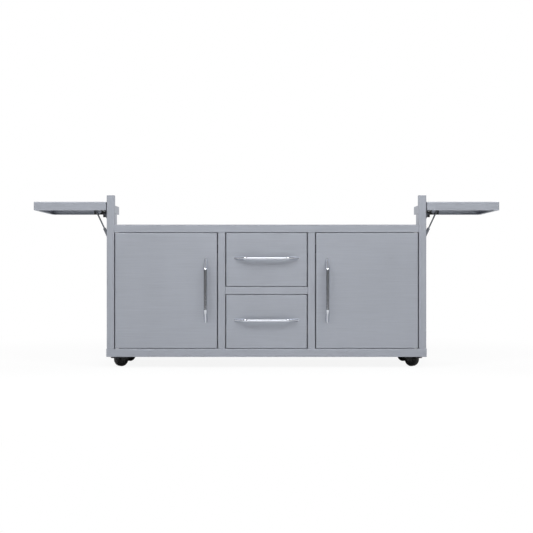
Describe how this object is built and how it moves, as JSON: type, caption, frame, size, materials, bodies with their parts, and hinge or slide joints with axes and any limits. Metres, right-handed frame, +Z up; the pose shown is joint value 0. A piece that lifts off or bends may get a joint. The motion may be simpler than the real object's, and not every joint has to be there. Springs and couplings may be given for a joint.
{
  "type": "griddle cart",
  "caption": "Wheeled stainless steel cabinet for a table-top griddle, with hinged doors, drawers between them and drop side shelves on struts.",
  "frame": {"origin": "on the floor, below the middle of the overall box", "axes": "+X to the right along the front, +Y from the front to the back, +Z up"},
  "size_m": [2.47, 0.605, 0.914],
  "materials": {
    "satin_steel": "satin brushed stainless steel",
    "bright_steel": "polished stainless bar",
    "zinc_steel": "zinc-plated steel",
    "dark_steel": "dark grey enamelled steel",
    "black_steel": "black powder coat",
    "black_rubber": "black moulded tread",
    "dark_plastic": "black moulded plastic",
    "pale_nylon": "natural nylon"
  },
  "bodies": {
    "cart_frame": {"base_front_rail": "satin_steel", "base_rear_rail": "satin_steel", "base_depth_rails": "satin_steel", "front_posts": "satin_steel", "rear_posts": "satin_steel", "top_front_rail": "satin_steel", "top_rear_rail": "satin_steel", "top_side_rails": "satin_steel", "drawer_stiles": "satin_steel", "drawer_divider_rail": "satin_steel", "floor_panel": "satin_steel", "deck_panel": "satin_steel", "back_panel": "satin_steel", "side_panels": "satin_steel", "partition_panels": "satin_steel", "rear_shelf_brackets": "satin_steel", "drawer_slide_outers": "zinc_steel", "door_pivot_bushes": "pale_nylon", "door_catches": "dark_plastic", "shelf_fixed_leaves": "black_steel", "strut_feet": "black_steel", "caster_plates": "zinc_steel"},
    "left_door": {"left_door_skin": "satin_steel", "left_door_liner": "satin_steel", "left_door_handle": "bright_steel", "left_door_pivot_pins": "zinc_steel"},
    "right_door": {"right_door_skin": "satin_steel", "right_door_liner": "satin_steel", "right_door_handle": "bright_steel", "right_door_pivot_pins": "zinc_steel"},
    "upper_drawer": {"upper_drawer_front": "satin_steel", "upper_drawer_box": "satin_steel", "upper_drawer_handle": "bright_steel", "upper_slide_inners": "zinc_steel"},
    "upper_slide_middle": {"upper_slide_middles": "zinc_steel"},
    "lower_drawer": {"lower_drawer_front": "satin_steel", "lower_drawer_box": "satin_steel", "lower_drawer_handle": "bright_steel", "lower_slide_inners": "zinc_steel"},
    "lower_slide_middle": {"lower_slide_middles": "zinc_steel"},
    "left_shelf": {"left_shelf_tray": "satin_steel", "left_shelf_leaves": "black_steel", "left_shelf_hangers": "black_steel"},
    "left_struts": {"left_strut_tubes": "dark_steel"},
    "left_plungers": {"left_strut_rods": "dark_steel"},
    "right_shelf": {"right_shelf_tray": "satin_steel", "right_shelf_leaves": "black_steel", "right_shelf_hangers": "black_steel"},
    "right_struts": {"right_strut_tubes": "dark_steel"},
    "right_plungers": {"right_strut_rods": "dark_steel"},
    "left_front_caster": {"left_front_caster_fork": "black_steel"},
    "left_front_caster_wheel": {"left_front_caster_wheel": "black_rubber"},
    "left_front_caster_pedal": {"left_front_caster_pedal": "dark_plastic"},
    "left_rear_caster": {"left_rear_caster_fork": "black_steel"},
    "left_rear_caster_wheel": {"left_rear_caster_wheel": "black_rubber"},
    "right_front_caster": {"right_front_caster_fork": "black_steel"},
    "right_front_caster_wheel": {"right_front_caster_wheel": "black_rubber"},
    "right_front_caster_pedal": {"right_front_caster_pedal": "dark_plastic"},
    "right_rear_caster": {"right_rear_caster_fork": "black_steel"},
    "right_rear_caster_wheel": {"right_rear_caster_wheel": "black_rubber"}
  },
  "joints": [
    {"name": "left_door_swing", "type": "hinge", "parent": "cart_frame", "child": "left_door", "pos_m": [-0.791, -0.2495, 0.409], "axis": [0, 0, -1], "range_deg": [0, 110]},
    {"name": "right_door_swing", "type": "hinge", "parent": "cart_frame", "child": "right_door", "pos_m": [0.791, -0.2495, 0.409], "axis": [0, 0, 1], "range_deg": [0, 110]},
    {"name": "upper_drawer_slide", "type": "slide", "parent": "cart_frame", "child": "upper_drawer", "axis": [0, -1, 0], "range_m": [0, 0.4]},
    {"name": "upper_middle_slide", "type": "slide", "parent": "cart_frame", "child": "upper_slide_middle", "axis": [0, -1, 0], "range_m": [0, 0.2]},
    {"name": "lower_drawer_slide", "type": "slide", "parent": "cart_frame", "child": "lower_drawer", "axis": [0, -1, 0], "range_m": [0, 0.4]},
    {"name": "lower_middle_slide", "type": "slide", "parent": "cart_frame", "child": "lower_slide_middle", "axis": [0, -1, 0], "range_m": [0, 0.2]},
    {"name": "left_shelf_fold", "type": "hinge", "parent": "cart_frame", "child": "left_shelf", "pos_m": [-0.8535, -0.0025, 0.8295], "axis": [0, -1, 0], "range_deg": [0, 90]},
    {"name": "left_strut_swing", "type": "hinge", "parent": "cart_frame", "child": "left_struts", "pos_m": [-0.823, -0.0175, 0.64], "axis": [0, 1, 0], "range_deg": [0, 11.4]},
    {"name": "left_plunger_slide", "type": "slide", "parent": "left_struts", "child": "left_plungers", "axis": [0.4263, 0, -0.9046], "range_m": [0, 0.07726]},
    {"name": "right_shelf_fold", "type": "hinge", "parent": "cart_frame", "child": "right_shelf", "pos_m": [0.8535, -0.0025, 0.8295], "axis": [0, 1, 0], "range_deg": [0, 90]},
    {"name": "right_strut_swing", "type": "hinge", "parent": "cart_frame", "child": "right_struts", "pos_m": [0.823, -0.0175, 0.64], "axis": [0, -1, 0], "range_deg": [0, 11.4]},
    {"name": "right_plunger_slide", "type": "slide", "parent": "right_struts", "child": "right_plungers", "axis": [-0.4263, 0, -0.9046], "range_m": [0, 0.07726]},
    {"name": "left_front_caster_swivel", "type": "hinge", "parent": "cart_frame", "child": "left_front_caster", "pos_m": [-0.754, -0.1375, 0.094], "axis": [0, 0, 1], "continuous": true},
    {"name": "left_front_caster_roll", "type": "hinge", "parent": "left_front_caster", "child": "left_front_caster_wheel", "pos_m": [-0.78349, -0.15815, 0.0375], "axis": [-0.5736, 0.8192, 0], "continuous": true},
    {"name": "left_front_caster_brake", "type": "hinge", "parent": "left_front_caster", "child": "left_front_caster_pedal", "pos_m": [-0.80395, -0.17248, 0.07188], "axis": [-0.5736, 0.8192, 0], "range_deg": [0, 6]},
    {"name": "left_rear_caster_swivel", "type": "hinge", "parent": "cart_frame", "child": "left_rear_caster", "pos_m": [-0.754, 0.1825, 0.094], "axis": [0, 0, 1], "continuous": true},
    {"name": "left_rear_caster_roll", "type": "hinge", "parent": "left_rear_caster", "child": "left_rear_caster_wheel", "pos_m": [-0.77946, 0.15704, 0.0375], "axis": [-0.7071, 0.7071, 0], "continuous": true},
    {"name": "right_front_caster_swivel", "type": "hinge", "parent": "cart_frame", "child": "right_front_caster", "pos_m": [0.754, -0.1375, 0.094], "axis": [0, 0, 1], "continuous": true},
    {"name": "right_front_caster_roll", "type": "hinge", "parent": "right_front_caster", "child": "right_front_caster_wheel", "pos_m": [0.78349, -0.15815, 0.0375], "axis": [0.5736, 0.8192, 0], "continuous": true},
    {"name": "right_front_caster_brake", "type": "hinge", "parent": "right_front_caster", "child": "right_front_caster_pedal", "pos_m": [0.80395, -0.17248, 0.07188], "axis": [-0.5736, -0.8192, 0], "range_deg": [0, 6]},
    {"name": "right_rear_caster_swivel", "type": "hinge", "parent": "cart_frame", "child": "right_rear_caster", "pos_m": [0.754, 0.1825, 0.094], "axis": [0, 0, 1], "continuous": true},
    {"name": "right_rear_caster_roll", "type": "hinge", "parent": "right_rear_caster", "child": "right_rear_caster_wheel", "pos_m": [0.77946, 0.15704, 0.0375], "axis": [0.7071, 0.7071, 0], "continuous": true}
  ],
  "couplings": [
    {"joint": "upper_middle_slide", "follows": "upper_drawer_slide", "ratio": 0.5},
    {"joint": "lower_middle_slide", "follows": "lower_drawer_slide", "ratio": 0.5},
    {"joint": "left_strut_swing", "follows": "left_shelf_fold", "ratio": 0.12668},
    {"joint": "left_plunger_slide", "follows": "left_shelf_fold", "m_per_rad": 0.049186},
    {"joint": "right_strut_swing", "follows": "right_shelf_fold", "ratio": 0.12668},
    {"joint": "right_plunger_slide", "follows": "right_shelf_fold", "m_per_rad": 0.049186}
  ]
}
